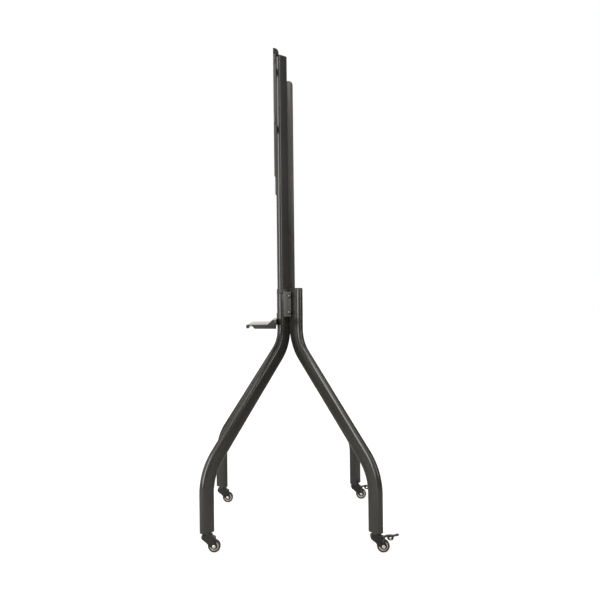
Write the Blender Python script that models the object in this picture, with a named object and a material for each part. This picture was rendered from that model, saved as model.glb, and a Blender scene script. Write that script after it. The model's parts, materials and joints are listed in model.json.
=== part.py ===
"""Television cart on four casters: bent tube legs, two masts, sliding bracket, tray.

Metres, +Z up. The screen side is -Y, the cable side is +Y, and left and right are mirror images.
The ground is Z = 0. Open it in Blender and run it, or use blender --background --python part.py
"""

import math

import bmesh
import bpy
from mathutils import Vector

MM = 0.001

# Clearances
SEAT = 0.3 * MM  # between pieces that touch when assembled
RUN = 0.08 * MM  # radial play of a shaft that turns in its hole
SLIP = 0.3 * MM  # play of a tube or a carriage that slides

# Legs: rectangular tube with round corners, long side in the plane of its bends
LEG_LONG = 50 * MM
LEG_SHORT = 25 * MM
LEG_CORNER = 9 * MM
LEG_WALL = 1.5 * MM
LEG_REACH = 341 * MM
LEG_TOP_Z = 830 * MM
LEG_FOOT_Z = 62 * MM
UPPER_KNEE_Z = 640.7 * MM
LOWER_KNEE_Z = 246.3 * MM
UPPER_BEND = 136 * MM
LOWER_BEND = 174 * MM
FRONT_SPLAY = math.radians(43.0)
REAR_SPLAY = math.radians(46.3)
FRONT_TOP_X = 64 * MM
FRONT_TOP_Y = -8.0 * MM
REAR_SHIFT = 25.0 * MM  # how far the rear leg sits towards the inside of the front leg
REAR_CAP_HEIGHT = 2.4 * MM

# Masts
MAST_WALL = 1.5 * MM
MAST_LONG = LEG_LONG - 2 * LEG_WALL - 2.6 * SLIP
MAST_SHORT = LEG_SHORT - 2 * LEG_WALL - 2.6 * SLIP
MAST_CORNER = 7 * MM
MAST_INSERT = 120 * MM
MAST_TOP_Z = 1637 * MM
CAP_DOME = 5 * MM
COLLAR_HEIGHT = 16 * MM  # tapered collar round the mast, on the top end of the front leg
COLLAR_LIP = 0.8 * MM

# Hub
HUB_Z1 = LEG_TOP_Z - 9.4 * MM
HUB_Z0 = HUB_Z1 - 86.6 * MM
HUB_FACE_X = 84.5 * MM
HUB_FRONT_Y = -8.4 * MM
HUB_REAR_Y = 18.1 * MM
BOLT_Y = 12 * MM
BOLT_Z = (HUB_Z0 + 15 * MM, HUB_Z1 - 15.6 * MM)
BOLT_R = 4 * MM
BOLT_HEAD_R = 7 * MM
BOLT_HEAD_H = 4.4 * MM
CORE_HALF_X = 40.6 * MM
CORE_Y0 = -4 * MM
CORE_Y1 = 24 * MM

# Cable cover and its ties
COVER_HALF_X = 38 * MM
COVER_Y0 = 5 * MM
COVER_Y1 = 33 * MM
COVER_Z0 = LEG_TOP_Z + 2 * MM
COVER_Z1 = MAST_TOP_Z - 75 * MM
COVER_SHEET = 1.5 * MM
COVER_CORNER = 9 * MM
TIE_Z = (COVER_Z0 + 48 * MM, COVER_Z1 - 72 * MM)
TIE_HEIGHT = 34 * MM
TIE_THICK = 6 * MM

# Bracket: carriage, rails, arms
RAIL_SPACING = 199 * MM
UPPER_RAIL_Z = MAST_TOP_Z - 68 * MM
RAIL_Z = (UPPER_RAIL_Z - RAIL_SPACING, UPPER_RAIL_Z)
RAIL_HEIGHT = 25 * MM
RAIL_THICK = 2.5 * MM
RAIL_HALF = 222.5 * MM
CARRIAGE_Z0 = RAIL_Z[0] - 18 * MM
CARRIAGE_Z1 = RAIL_Z[1] + 43 * MM
CARRIAGE_SHEET = 2.5 * MM
ARM_X = 200 * MM
ARM_HALF = 12 * MM
ARM_SHEET = 1.5 * MM
ARM_FLANGE = 9.2 * MM
ARM_Z0 = RAIL_Z[0] - 172 * MM
ARM_Z1 = RAIL_Z[1] + 49 * MM
EAR_DEPTH = 18.4 * MM  # the ear reaches back over the upper rail
EAR_LIFT = 3.3 * MM
EAR_ROUND = 16 * MM
VESA_SLOT = 6.5 * MM
VESA_SLOT_LENGTH = 40 * MM
VESA_SLOT_Z = (ARM_Z0 + 40 * MM, ARM_Z0 + 102 * MM, ARM_Z0 + 242 * MM, ARM_Z0 + 304 * MM)

# Tray
TRAY_HALF = 280 * MM
TRAY_FRONT = -128 * MM
TRAY_Z = 712 * MM
TRAY_SHEET = 2 * MM
TRAY_HEM = 7 * MM
TRAY_HEM_DROP = 11 * MM
TRAY_NOTCH = 9 * MM
TRAY_CHEEK_DROP = 13 * MM
TRAY_STEP = 15 * MM
TRAY_STEP_Y = -61 * MM
TRAY_STEP_RUN = 17.5 * MM
TRAY_APRON = 22 * MM
WEDGE_HALF_SPAN = 66 * MM
WEDGE_INNER = 38 * MM
WEDGE_Z0 = 706 * MM
WEDGE_Z1 = 746 * MM

# Casters
WHEEL_R = 20 * MM
WHEEL_WIDTH = 18 * MM
CORE_R = 14 * MM
TRAIL = 22.5 * MM
FORK_HALF = 13 * MM
FORK_WELL_HALF = 9.6 * MM
FORK_WELL_R = 22.4 * MM
STEM_R = 5.5 * MM
STEM_TOP_Z = 96 * MM
COLLAR_R = 11 * MM
AXLE_R = 3 * MM
AXLE_HEAD_R = 5.6 * MM
PLUG_DEPTH = 40 * MM
PEDAL_TIP = 72 * MM
PEDAL_HALF = 7.6 * MM
PIN_Y = 22.5 * MM
PIN_Z = 45.6 * MM
PIN_R = 1.8 * MM
PIN_SUNK = 0.8 * MM
WEB_HOLE_Y = 45.4 * MM
WEB_HOLE_Z = 43.4 * MM
WEB_HOLE_R = 4.2 * MM

SIDES = (("L", -1), ("R", 1))


def reach_of(angle, along, size=(LEG_LONG, LEG_SHORT, LEG_CORNER)):
    """Half size of a tube section, turned by its splay angle, along X or along Y."""
    length, width, corner = size
    a = length / 2 - corner
    b = width / 2 - corner
    if along == "x":
        return a * math.sin(angle) + b * math.cos(angle) + corner
    return a * math.cos(angle) + b * math.sin(angle) + corner


# Plan directions of the right-hand legs: along the bend plane and across it
FRONT_U = Vector((math.sin(FRONT_SPLAY), -math.cos(FRONT_SPLAY), 0))
FRONT_V = Vector((math.cos(FRONT_SPLAY), math.sin(FRONT_SPLAY), 0))
REAR_U = Vector((math.sin(REAR_SPLAY), math.cos(REAR_SPLAY), 0))
REAR_V = Vector((math.cos(REAR_SPLAY), -math.sin(REAR_SPLAY), 0))
FRONT_TOP = Vector((FRONT_TOP_X, FRONT_TOP_Y, 0))
TURNED = math.cos(FRONT_SPLAY + REAR_SPLAY - math.pi / 2)
REAR_TOP = (
    FRONT_TOP
    + FRONT_V * (LEG_SHORT / 2 + LEG_LONG / 2 + SEAT) / TURNED
    - FRONT_U * REAR_SHIFT
)
FRONT_FOOT = FRONT_TOP + FRONT_U * LEG_REACH
REAR_FOOT = REAR_TOP + REAR_U * LEG_REACH

# The middle of the overall length is Y = 0
FRONT_MOST = FRONT_FOOT.y - reach_of(FRONT_SPLAY, "y")
REAR_MOST = REAR_FOOT.y + PEDAL_TIP
MIDDLE_Y = (FRONT_MOST + REAR_MOST) / 2
SHIFT = Vector((0, -MIDDLE_Y, 0))

# Front faces, from the mast outwards
MAST_SIZE = (MAST_LONG, MAST_SHORT, MAST_CORNER)
MAST_FRONT_Y = FRONT_TOP_Y - reach_of(FRONT_SPLAY, "y", MAST_SIZE)
MAST_INNER_X = FRONT_TOP_X - reach_of(FRONT_SPLAY, "x", MAST_SIZE)
RAIL_BACK_Y = MAST_FRONT_Y - SEAT
RAIL_FRONT_Y = RAIL_BACK_Y - RAIL_THICK
ARM_WEB_Y = RAIL_FRONT_Y - SEAT
ARM_FRONT_Y = ARM_WEB_Y - ARM_SHEET
ARM_REAR_Y = ARM_FRONT_Y + ARM_FLANGE
LEG_FRONT_Y = FRONT_TOP_Y - reach_of(FRONT_SPLAY, "y")
WEDGE_FRONT_Y = LEG_FRONT_Y - 1.2 * MM
EAR_REAR_Y = ARM_FRONT_Y + EAR_DEPTH
EAR_Z0 = RAIL_Z[1] + RAIL_HEIGHT + EAR_LIFT
FRONT_LEG_TOP_Z = LEG_TOP_Z - COLLAR_HEIGHT
TRAY_REAR = WEDGE_FRONT_Y - SEAT

FINISHES = {
    "frame_powder_coat": ((0.040, 0.038, 0.036), 0.42, 0.25),
    "mast_powder_coat": ((0.045, 0.043, 0.041), 0.40, 0.25),
    "bracket_powder_coat": ((0.036, 0.035, 0.034), 0.50, 0.20),
    "cover_sheet_coat": ((0.042, 0.041, 0.040), 0.48, 0.20),
    "tray_powder_coat": ((0.050, 0.049, 0.048), 0.35, 0.20),
    "hub_casting": ((0.16, 0.155, 0.15), 0.45, 0.60),
    "cap_plastic": ((0.022, 0.022, 0.022), 0.55, 0.0),
    "bolt_steel": ((0.10, 0.10, 0.10), 0.35, 0.90),
    "caster_plastic": ((0.020, 0.020, 0.021), 0.40, 0.0),
    "wheel_core_plastic": ((0.36, 0.34, 0.31), 0.50, 0.0),
    "tyre_rubber": ((0.035, 0.034, 0.033), 0.70, 0.0),
    "bright_steel": ((0.62, 0.61, 0.59), 0.28, 1.0),
    "pedal_plastic": ((0.028, 0.028, 0.028), 0.45, 0.0),
}


def material(name):
    found = bpy.data.materials.get(name)
    if found:
        return found
    colour, rough, metal = FINISHES[name]
    made = bpy.data.materials.new(name)
    made.use_nodes = True
    shader = made.node_tree.nodes["Principled BSDF"]
    shader.inputs["Base Color"].default_value = (*colour, 1)
    shader.inputs["Roughness"].default_value = rough
    shader.inputs["Metallic"].default_value = metal
    made.diffuse_color = (*colour, 1)
    return made


def add(name, bm, finish, parent, at=None, smooth=True):
    """Make an object of a bmesh whose points are in cart coordinates, with its origin at a point."""
    at = Vector((0, 0, 0)) if at is None else Vector(at)
    bmesh.ops.recalc_face_normals(bm, faces=bm.faces)
    bmesh.ops.translate(bm, verts=bm.verts, vec=-at)
    mesh = bpy.data.meshes.new(name)
    bm.to_mesh(mesh)
    bm.free()
    obj = bpy.data.objects.new(name, mesh)
    bpy.context.scene.collection.objects.link(obj)
    if finish:
        mesh.materials.append(material(finish))
    if smooth:
        mesh.polygons.foreach_set("use_smooth", [True] * len(mesh.polygons))
        mesh.set_sharp_from_angle(angle=math.radians(35))
    place(obj, parent, at)
    return obj


def place(obj, parent, at):
    """Put an object's origin at a point of the cart, under a parent whose origin is known."""
    base = Vector(parent["at"]) if parent else Vector((0, 0, 0))
    obj["at"] = tuple(at)
    obj.parent = parent
    obj.location = at - base if parent else at


def frame(name, parent, at):
    """An empty on a joint's axis: what turns or slides there hangs below it."""
    empty = bpy.data.objects.new(name, None)
    empty.empty_display_size = 0.03
    bpy.context.scene.collection.objects.link(empty)
    place(empty, parent, Vector(at))
    return empty


def cutter(name, bm, parent, at=None):
    obj = add(name, bm, None, parent, at, smooth=False)
    obj.hide_render = True
    obj.display_type = "WIRE"
    return obj


def cut(obj, tool, operation="DIFFERENCE"):
    change = obj.modifiers.new(f"{operation.lower()}_{tool.name}", "BOOLEAN")
    change.operation = operation
    change.object = tool
    change.solver = "EXACT"
    return change


def soften(obj, width, segments=2, angle=32):
    bevel = obj.modifiers.new("soften", "BEVEL")
    bevel.width = width
    bevel.segments = segments
    bevel.limit_method = "ANGLE"
    bevel.angle_limit = math.radians(angle)
    return bevel


def rounded_rectangle(length, width, corner, steps=3):
    points = []
    centres = ((1, 1), (-1, 1), (-1, -1), (1, -1))
    for quarter, (sx, sy) in enumerate(centres):
        for step in range(steps + 1):
            turn = math.pi / 2 * (quarter + step / steps)
            x = sx * (length / 2 - corner) + corner * math.cos(turn)
            y = sy * (width / 2 - corner) + corner * math.sin(turn)
            points.append((x, y))
    return points


def circle(radius, count):
    return [
        (radius * math.cos(2 * math.pi * k / count), radius * math.sin(2 * math.pi * k / count))
        for k in range(count)
    ]


def skin(bm, rings, close=True):
    """Join rings of points into a tube. Returns its rings of vertices."""
    made = [[bm.verts.new(p) for p in ring] for ring in rings]
    for a, b in zip(made, made[1:]):
        for k in range(len(a)):
            j = (k + 1) % len(a)
            bm.faces.new((a[k], a[j], b[j], b[k]))
    if close:
        bm.faces.new(made[0])
        bm.faces.new(made[-1])
    return made


def hollow(outer, inner):
    """A tube with a wall, open at both ends."""
    bm = bmesh.new()
    out = skin(bm, outer, close=False)
    inn = skin(bm, inner, close=False)
    for a, b in ((out[0], inn[0]), (out[-1], inn[-1])):
        for k in range(len(a)):
            j = (k + 1) % len(a)
            bm.faces.new((a[k], a[j], b[j], b[k]))
    return bm


def prism(outline, low, high, axis="z"):
    """Push an outline along an axis. Outlines are (x, y), or (y, z) for axis x."""
    bm = bmesh.new()
    if axis == "z":
        rings = [[(a, b, h) for a, b in outline] for h in (low, high)]
    elif axis == "x":
        rings = [[(h, a, b) for a, b in outline] for h in (low, high)]
    else:
        rings = [[(a, h, b) for a, b in outline] for h in (low, high)]
    skin(bm, rings)
    return bm


def moved(bm, by):
    bmesh.ops.translate(bm, verts=bm.verts, vec=by)
    return bm


def merge(*parts):
    """Several closed shapes in one mesh, used for cutters."""
    whole = bmesh.new()
    for part in parts:
        mesh = bpy.data.meshes.new("merge")
        part.to_mesh(mesh)
        part.free()
        whole.from_mesh(mesh)
        bpy.data.meshes.remove(mesh)
    return whole


def turned(profile, count, axis, at):
    """Turn an open profile of (radius, height) about an axis through a point."""
    rings = []
    for radius, height in profile:
        ring = []
        for x, y in circle(max(radius, 1e-5), count):
            if axis == "z":
                ring.append(Vector((x, y, height)) + at)
            else:
                ring.append(Vector((height, x, y)) + at)
        rings.append(ring)
    bm = bmesh.new()
    skin(bm, rings)
    return bm


def ring_body(outer, inner, count, axis, at):
    """Turn a closed band about an axis: outer and inner profiles of (radius, height)."""
    profile = outer + inner[::-1]
    rings = []
    for radius, height in profile:
        if axis == "z":
            rings.append([Vector((x, y, height)) + at for x, y in circle(radius, count)])
        else:
            rings.append([Vector((height, x, y)) + at for x, y in circle(radius, count)])
    bm = bmesh.new()
    made = skin(bm, rings, close=False)
    for k in range(count):
        j = (k + 1) % count
        bm.faces.new((made[-1][k], made[-1][j], made[0][j], made[0][k]))
    return bm


def leg_path(top_z):
    """The leg's centre line in its plane: (outward, height, tilt) from top to foot."""
    slope = math.atan2(LEG_REACH, UPPER_KNEE_Z - LOWER_KNEE_Z)
    upper = UPPER_BEND * math.tan(slope / 2)
    lower = LOWER_BEND * math.tan(slope / 2)
    path = [(0, top_z, 0), (0, top_z - 6 * MM, 0)]
    steps = 6
    for k in range(steps + 1):
        tilt = slope * k / steps
        out = UPPER_BEND * (1 - math.cos(tilt))
        path.append((out, UPPER_KNEE_Z + upper - UPPER_BEND * math.sin(tilt), tilt))
    for k in range(steps + 1):
        tilt = slope * (1 - k / steps)
        out = LEG_REACH - LOWER_BEND * (1 - math.cos(tilt))
        path.append((out, LOWER_KNEE_Z - lower + LOWER_BEND * math.sin(tilt), tilt))
    path.append((LEG_REACH, LEG_FOOT_Z, 0))
    return path


def leg_rings(top, u, v, side, size, top_z, top_inset):
    length, width, corner = size
    rings = []
    for index, (out, height, tilt) in enumerate(leg_path(top_z)):
        shrink = top_inset if index == 0 else 0
        section = rounded_rectangle(length - 2 * shrink, width - 2 * shrink, corner - shrink)
        ring = []
        for a, b in section:
            along = out + a * math.cos(tilt)
            p = top + u * along + v * b
            z = height + a * math.sin(tilt)
            ring.append(Vector((side * p.x, p.y, z)) + SHIFT)
        rings.append(ring)
    return rings


def plan_ring(centre, u, v, side, section, height):
    ring = []
    for a, b in section:
        p = centre + u * a + v * b
        ring.append(Vector((side * p.x, p.y, height)) + SHIFT)
    return ring


def bolt_cutter(letter, side, root):
    """Holes for the two hub bolts of one side."""
    holes = []
    for z in BOLT_Z:
        hole = prism(circle(BOLT_R + SEAT, 16), 20 * MM, 120 * MM, axis="x")
        hole = moved(hole, Vector((0, BOLT_Y, z)) + SHIFT)
        if side < 0:
            bmesh.ops.scale(hole, vec=(-1, 1, 1), verts=hole.verts)
            bmesh.ops.reverse_faces(hole, faces=hole.faces)
        holes.append(hole)
    return cutter(f"cut_hub_bolts_{letter}", merge(*holes), root)


def build_legs(root, bolts):
    wall2 = 2 * LEG_WALL
    legs = {}
    for letter, side in SIDES:
        for kind, top, u, v, top_z in (
            ("front_leg", FRONT_TOP, FRONT_U, FRONT_V, FRONT_LEG_TOP_Z),
            ("rear_leg", REAR_TOP, REAR_U, REAR_V, LEG_TOP_Z),
        ):
            where = (top, u, v, side)
            tube = (LEG_LONG, LEG_SHORT, LEG_CORNER)
            bore = (LEG_LONG - wall2, LEG_SHORT - wall2, LEG_CORNER - LEG_WALL)
            outer = leg_rings(*where, tube, top_z, 0.8 * MM if kind == "rear_leg" else 0)
            inner = leg_rings(*where, bore, top_z, 0)
            leg = add(f"{kind}_{letter}", hollow(outer, inner), "frame_powder_coat", root)
            cut(leg, bolts[letter])
            legs[kind, letter] = leg
        inside = (LEG_LONG - wall2 - 2 * SEAT, LEG_SHORT - wall2 - 2 * SEAT)
        plug_section = rounded_rectangle(*inside, LEG_CORNER - LEG_WALL - SEAT)
        lid = rounded_rectangle(LEG_LONG - 1.6 * MM, LEG_SHORT - 1.6 * MM, LEG_CORNER - 0.8 * MM)
        crown = rounded_rectangle(LEG_LONG - 6 * MM, LEG_SHORT - 6 * MM, LEG_CORNER - 3 * MM)
        lid_z = LEG_TOP_Z + SEAT
        levels = (
            (plug_section, LEG_TOP_Z - 14 * MM),
            (plug_section, lid_z),
            (lid, lid_z),
            (lid, lid_z + REAR_CAP_HEIGHT * 0.45),
            (crown, lid_z + REAR_CAP_HEIGHT),
        )
        bm = bmesh.new()
        skin(bm, [plan_ring(REAR_TOP, REAR_U, REAR_V, side, s, z) for s, z in levels])
        add(f"rear_leg_cap_{letter}", bm, "cap_plastic", root)
        for kind, foot, u, v in (
            ("front", FRONT_FOOT, FRONT_U, FRONT_V),
            ("rear", REAR_FOOT, REAR_U, REAR_V),
        ):
            levels = (LEG_FOOT_Z, LEG_FOOT_Z + PLUG_DEPTH)
            bm = bmesh.new()
            skin(bm, [plan_ring(foot, u, v, side, plug_section, z) for z in levels])
            plug = add(f"foot_plug_{kind}_{letter}", bm, "cap_plastic", root)
            at = Vector((side * foot.x, foot.y, 0)) + SHIFT
            hole = turned(
                [(STEM_R + RUN, LEG_FOOT_Z - 10 * MM), (STEM_R + RUN, STEM_TOP_Z + SEAT)],
                24, "z", at,
            )
            cut(plug, cutter(f"cut_socket_{kind}_{letter}", hole, root))
    return legs


def build_masts(root, bolts):
    section = rounded_rectangle(MAST_LONG, MAST_SHORT, MAST_CORNER)
    inside = rounded_rectangle(
        MAST_LONG - 2 * MAST_WALL, MAST_SHORT - 2 * MAST_WALL, MAST_CORNER - MAST_WALL
    )
    snug = 2 * (MAST_WALL + SEAT)
    plug = rounded_rectangle(MAST_LONG - snug, MAST_SHORT - snug, MAST_CORNER - snug / 2)
    shoulder = rounded_rectangle(MAST_LONG - 2.4 * MM, MAST_SHORT - 2.4 * MM, MAST_CORNER - 1.2 * MM)
    crown = rounded_rectangle(MAST_LONG - 11 * MM, MAST_SHORT - 11 * MM, 2.4 * MM)
    for letter, side in SIDES:
        place_at = (FRONT_TOP, FRONT_U, FRONT_V, side)
        low = LEG_TOP_Z - MAST_INSERT
        outer = [plan_ring(*place_at, section, z) for z in (low, MAST_TOP_Z)]
        inner = [plan_ring(*place_at, inside, z) for z in (low, MAST_TOP_Z)]
        mast = add(f"mast_tube_{letter}", hollow(outer, inner), "mast_powder_coat", root)
        cut(mast, bolts[letter])
        play = 2 * (SEAT + COLLAR_LIP)
        base = rounded_rectangle(LEG_LONG, LEG_SHORT, LEG_CORNER)
        rim = rounded_rectangle(MAST_LONG + play, MAST_SHORT + play, MAST_CORNER + play / 2)
        room = rounded_rectangle(
            MAST_LONG + 2 * SEAT, MAST_SHORT + 2 * SEAT, MAST_CORNER + SEAT
        )
        collar_z = FRONT_LEG_TOP_Z + SEAT
        levels = ((base, collar_z), (base, collar_z + 3 * MM), (rim, LEG_TOP_Z))
        outer = [plan_ring(*place_at, s, z) for s, z in levels]
        inner = [plan_ring(*place_at, room, z) for _, z in levels]
        add(f"mast_collar_{letter}", hollow(outer, inner), "cap_plastic", root)
        cap_z = MAST_TOP_Z + SEAT
        levels = (
            (plug, MAST_TOP_Z - 20 * MM),
            (plug, cap_z),
            (section, cap_z),
            (section, cap_z + CAP_DOME * 0.35),
            (shoulder, cap_z + CAP_DOME * 0.75),
            (crown, cap_z + CAP_DOME),
        )
        bm = bmesh.new()
        skin(bm, [plan_ring(*place_at, s, z) for s, z in levels])
        add(f"mast_cap_{letter}", bm, "cap_plastic", root)


def build_hub(root, bolts):
    across = LEG_SHORT / 2 + SEAT
    corner_u = -REAR_SHIFT + LEG_SHORT / 2
    for letter, side in SIDES:

        def on_front_leg(y):
            base = FRONT_TOP + FRONT_V * across
            return base.x - (y - base.y) * FRONT_V.y / FRONT_V.x

        def on_rear_leg(y):
            base = REAR_TOP + REAR_V * across
            return base.x - (y - base.y) * REAR_V.y / REAR_V.x

        root_y = (FRONT_TOP + FRONT_V * across + FRONT_U * corner_u).y
        inner_front = on_front_leg(root_y - 2 * MM)
        outline = (
            (HUB_FACE_X, HUB_FRONT_Y),
            (HUB_FACE_X, HUB_REAR_Y),
            (on_rear_leg(HUB_REAR_Y), HUB_REAR_Y),
            (on_rear_leg(root_y + 2.5 * MM), root_y + 2.5 * MM),
            (inner_front, root_y - 2 * MM),
            (on_front_leg(HUB_FRONT_Y), HUB_FRONT_Y),
        )
        bm = prism([(side * x, y) for x, y in outline], HUB_Z0, HUB_Z1)
        plate = add(f"hub_plate_{letter}", moved(bm, SHIFT), "hub_casting", root)
        cut(plate, bolts[letter])
        soften(plate, 1.2 * MM, segments=1)
        for place_name, z in zip(("lower", "upper"), BOLT_Z):
            head = HUB_FACE_X + SEAT
            profile = (
                (BOLT_R, CORE_HALF_X - 14 * MM),
                (BOLT_R, head),
                (BOLT_HEAD_R, head),
                (BOLT_HEAD_R, head + BOLT_HEAD_H * 0.3),
                (BOLT_HEAD_R * 0.86, head + BOLT_HEAD_H * 0.72),
                (BOLT_HEAD_R * 0.55, head + BOLT_HEAD_H),
                (2.2 * MM, head + BOLT_HEAD_H),
                (2.2 * MM, head + BOLT_HEAD_H - 2.4 * MM),
            )
            at = Vector((0, BOLT_Y, z)) + SHIFT
            bm = turned([(r, side * x) for r, x in profile], 16, "x", at)
            add(f"hub_bolt_{place_name}_{letter}", bm, "bolt_steel", root)
    bm = prism(
        rounded_rectangle(2 * CORE_HALF_X, CORE_Y1 - CORE_Y0, 5 * MM, steps=2), HUB_Z0, HUB_Z1
    )
    core = moved(bm, Vector((0, (CORE_Y0 + CORE_Y1) / 2, 0)) + SHIFT)
    core = add("hub_core", core, "hub_casting", root)
    for letter, _ in SIDES:
        cut(core, bolts[letter])


def u_outline(half, y0, y1, sheet, corner, steps=4):
    """A channel seen from above, open to the front."""
    outer = []
    inner = []
    for sx in (1, -1):
        arc = [math.pi / 2 * k / steps for k in range(steps + 1)]
        if sx < 0:
            arc = arc[::-1]
        for turn in arc:
            cx = sx * (half - corner + corner * math.cos(turn))
            outer.append((cx, y1 - corner + corner * math.sin(turn)))
            small = corner - sheet
            cx = sx * (half - corner + small * math.cos(turn))
            inner.append((cx, y1 - corner + small * math.sin(turn)))
    outer = [(half, y0)] + outer + [(-half, y0)]
    inner = [(half - sheet, y0)] + inner + [(-half + sheet, y0)]
    return outer + inner[::-1]


def build_cover(root):
    outline = u_outline(COVER_HALF_X, COVER_Y0, COVER_Y1, COVER_SHEET, COVER_CORNER)
    cover = add(
        "cable_cover", moved(prism(outline, COVER_Z0, COVER_Z1), SHIFT), "cover_sheet_coat", root
    )
    radius = 14 * MM
    arc = [math.pi / 2 * k / 4 for k in range(5)]
    centre_y = COVER_Y1 - radius
    centre_z = COVER_Z1 - radius
    away = 30 * MM
    corner = [(centre_y + radius * math.sin(t), centre_z + radius * math.cos(t)) for t in arc]
    corner += [(COVER_Y1 + away, centre_z), (COVER_Y1 + away, COVER_Z1 + away)]
    corner += [(centre_y, COVER_Z1 + away)]
    wide = COVER_HALF_X + 10 * MM
    trim = moved(prism(corner, -wide, wide, axis="x"), SHIFT)
    cut(cover, cutter("cut_cover_top_round", trim, root))
    for name, z in zip(("lower", "upper"), TIE_Z):
        y1 = COVER_Y0 - SEAT
        y0 = y1 - TIE_THICK
        half = MAST_INNER_X - SEAT
        outline = ((half, y0), (half, y1), (-half, y1), (-half, y0))
        tie = add(f"mast_tie_{name}", moved(prism(outline, z, z + TIE_HEIGHT), SHIFT),
                  "cover_sheet_coat", root)
        tongue_half = COVER_HALF_X - COVER_SHEET - SEAT
        tongue = prism(
            ((tongue_half, y1 - 1 * MM), (tongue_half, y1 + 12 * MM),
             (-tongue_half, y1 + 12 * MM), (-tongue_half, y1 - 1 * MM)),
            z + 3 * MM, z + TIE_HEIGHT - 3 * MM,
        )
        cut(tie, cutter(f"join_tie_{name}", moved(tongue, SHIFT), root), "UNION")
        open_half = tongue_half - 4 * MM
        slot = prism(
            ((open_half, y0 + 2.5 * MM), (open_half, y1 + 30 * MM),
             (-open_half, y1 + 30 * MM), (-open_half, y0 + 2.5 * MM)),
            z - 10 * MM, z + TIE_HEIGHT + 10 * MM,
        )
        cut(tie, cutter(f"cut_tie_{name}", moved(slot, SHIFT), root))


def carriage_outline():
    """The folded sheet seen from above: flat middle, slanted wings on the masts, flat ears."""
    gap = MAST_SHORT / 2 + SLIP
    flat = MAST_LONG / 2 - MAST_CORNER
    inner = FRONT_TOP - FRONT_V * gap - FRONT_U * flat
    outer = FRONT_TOP - FRONT_V * gap + FRONT_U * flat
    ear_y = RAIL_BACK_Y + SEAT
    reach = (ear_y + CARRIAGE_SHEET - inner.y) / (outer.y - inner.y)
    knee = inner + (outer - inner) * reach
    back = [(0, inner.y), (inner.x, inner.y), (knee.x, knee.y)]
    front_y = inner.y - CARRIAGE_SHEET
    line = FRONT_TOP - FRONT_V * (gap + CARRIAGE_SHEET)

    def x_at(y):
        return line.x - (y - line.y) * FRONT_V.y / FRONT_V.x

    ear = knee.x - 0.6 * MM
    front = [(ear, knee.y - 0.4 * MM), (ear, ear_y), (x_at(ear_y) - 14 * MM, ear_y)]
    front += [(x_at(ear_y) - 14 * MM, ear_y + CARRIAGE_SHEET)]
    front += [(x_at(ear_y + CARRIAGE_SHEET), ear_y + CARRIAGE_SHEET)]
    front += [(x_at(front_y), front_y), (0, front_y)]
    return back, front


def build_bracket(root):
    slide = frame("bracket_slide", root, Vector((0, RAIL_BACK_Y, CARRIAGE_Z0)) + SHIFT)
    back, front = carriage_outline()
    right = back[1:] + front[:-1]
    outline = right + [(-x, y) for x, y in right[::-1]]
    body = add(
        "carriage", moved(prism(outline, CARRIAGE_Z0, CARRIAGE_Z1), SHIFT),
        "bracket_powder_coat", slide,
    )
    window_half = 24 * MM
    window = prism(
        rounded_rectangle(2 * window_half, 110 * MM, 10 * MM, steps=3), -60 * MM, 40 * MM, axis="y"
    )
    middle = (CARRIAGE_Z0 + CARRIAGE_Z1) / 2
    window = moved(window, Vector((0, 0, middle)) + SHIFT)
    cut(body, cutter("cut_carriage_window", window, slide))
    screw_x = front[2][0] + 7 * MM
    holes = []
    for name, z in zip(("lower", "upper"), RAIL_Z):
        mid = z + RAIL_HEIGHT / 2
        for sx in (1, -1):
            hole = prism(circle(2.5 * MM + SEAT, 12), RAIL_FRONT_Y - 5 * MM,
                         RAIL_BACK_Y + 12 * MM, axis="y")
            holes.append(moved(hole, Vector((sx * screw_x, 0, mid)) + SHIFT))
    drill = cutter("cut_rail_screws", merge(*holes), slide)
    cut(body, drill)
    for name, z in zip(("lower", "upper"), RAIL_Z):
        strip = prism(
            rounded_rectangle(2 * RAIL_HALF, RAIL_HEIGHT, 2.5 * MM, steps=2),
            RAIL_FRONT_Y, RAIL_BACK_Y, axis="y",
        )
        mid = z + RAIL_HEIGHT / 2
        rail = add(f"rail_{name}", moved(strip, Vector((0, 0, mid)) + SHIFT),
                   "bracket_powder_coat", slide)
        cut(rail, drill)
        for letter, side in SIDES:
            head = RAIL_FRONT_Y - SEAT
            profile = (
                (1.3 * MM, head - 1.4 * MM),
                (4.2 * MM, head - 1.4 * MM),
                (4.8 * MM, head),
                (2.5 * MM, head),
                (2.5 * MM, RAIL_BACK_Y + CARRIAGE_SHEET + 3 * MM),
            )
            rings = []
            for radius, y in profile:
                at = Vector((side * screw_x, y, mid)) + SHIFT
                rings.append([at + Vector((a, 0, b)) for a, b in circle(radius, 12)])
            bm = bmesh.new()
            skin(bm, rings)
            add(f"rail_screw_{name}_{letter}", bm, "bolt_steel", slide)
    build_arms(slide)


def arm_outline():
    """Side view of an arm: (y, z), front edge straight, with a round ear over the upper rail."""
    arc = [math.pi / 2 * k / 6 for k in range(7)]
    r = EAR_ROUND
    points = [(ARM_FRONT_Y, ARM_Z0 + 3 * MM), (ARM_FRONT_Y, ARM_Z1 - 1 * MM)]
    points += [(ARM_FRONT_Y + 1 * MM, ARM_Z1)]
    for t in arc:
        points.append((EAR_REAR_Y - r + r * math.sin(t), ARM_Z1 - r + r * math.cos(t)))
    ease = 1.5 * MM
    points += [(EAR_REAR_Y, EAR_Z0 + ease), (EAR_REAR_Y - ease, EAR_Z0)]
    points += [(ARM_REAR_Y + ease, EAR_Z0), (ARM_REAR_Y, EAR_Z0 - ease)]
    low = 4 * MM
    for t in arc[::2]:
        points.append((ARM_REAR_Y - low + low * math.cos(t), ARM_Z0 + low - low * math.sin(t)))
    points.append((ARM_FRONT_Y + 3 * MM, ARM_Z0))
    return points


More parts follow.
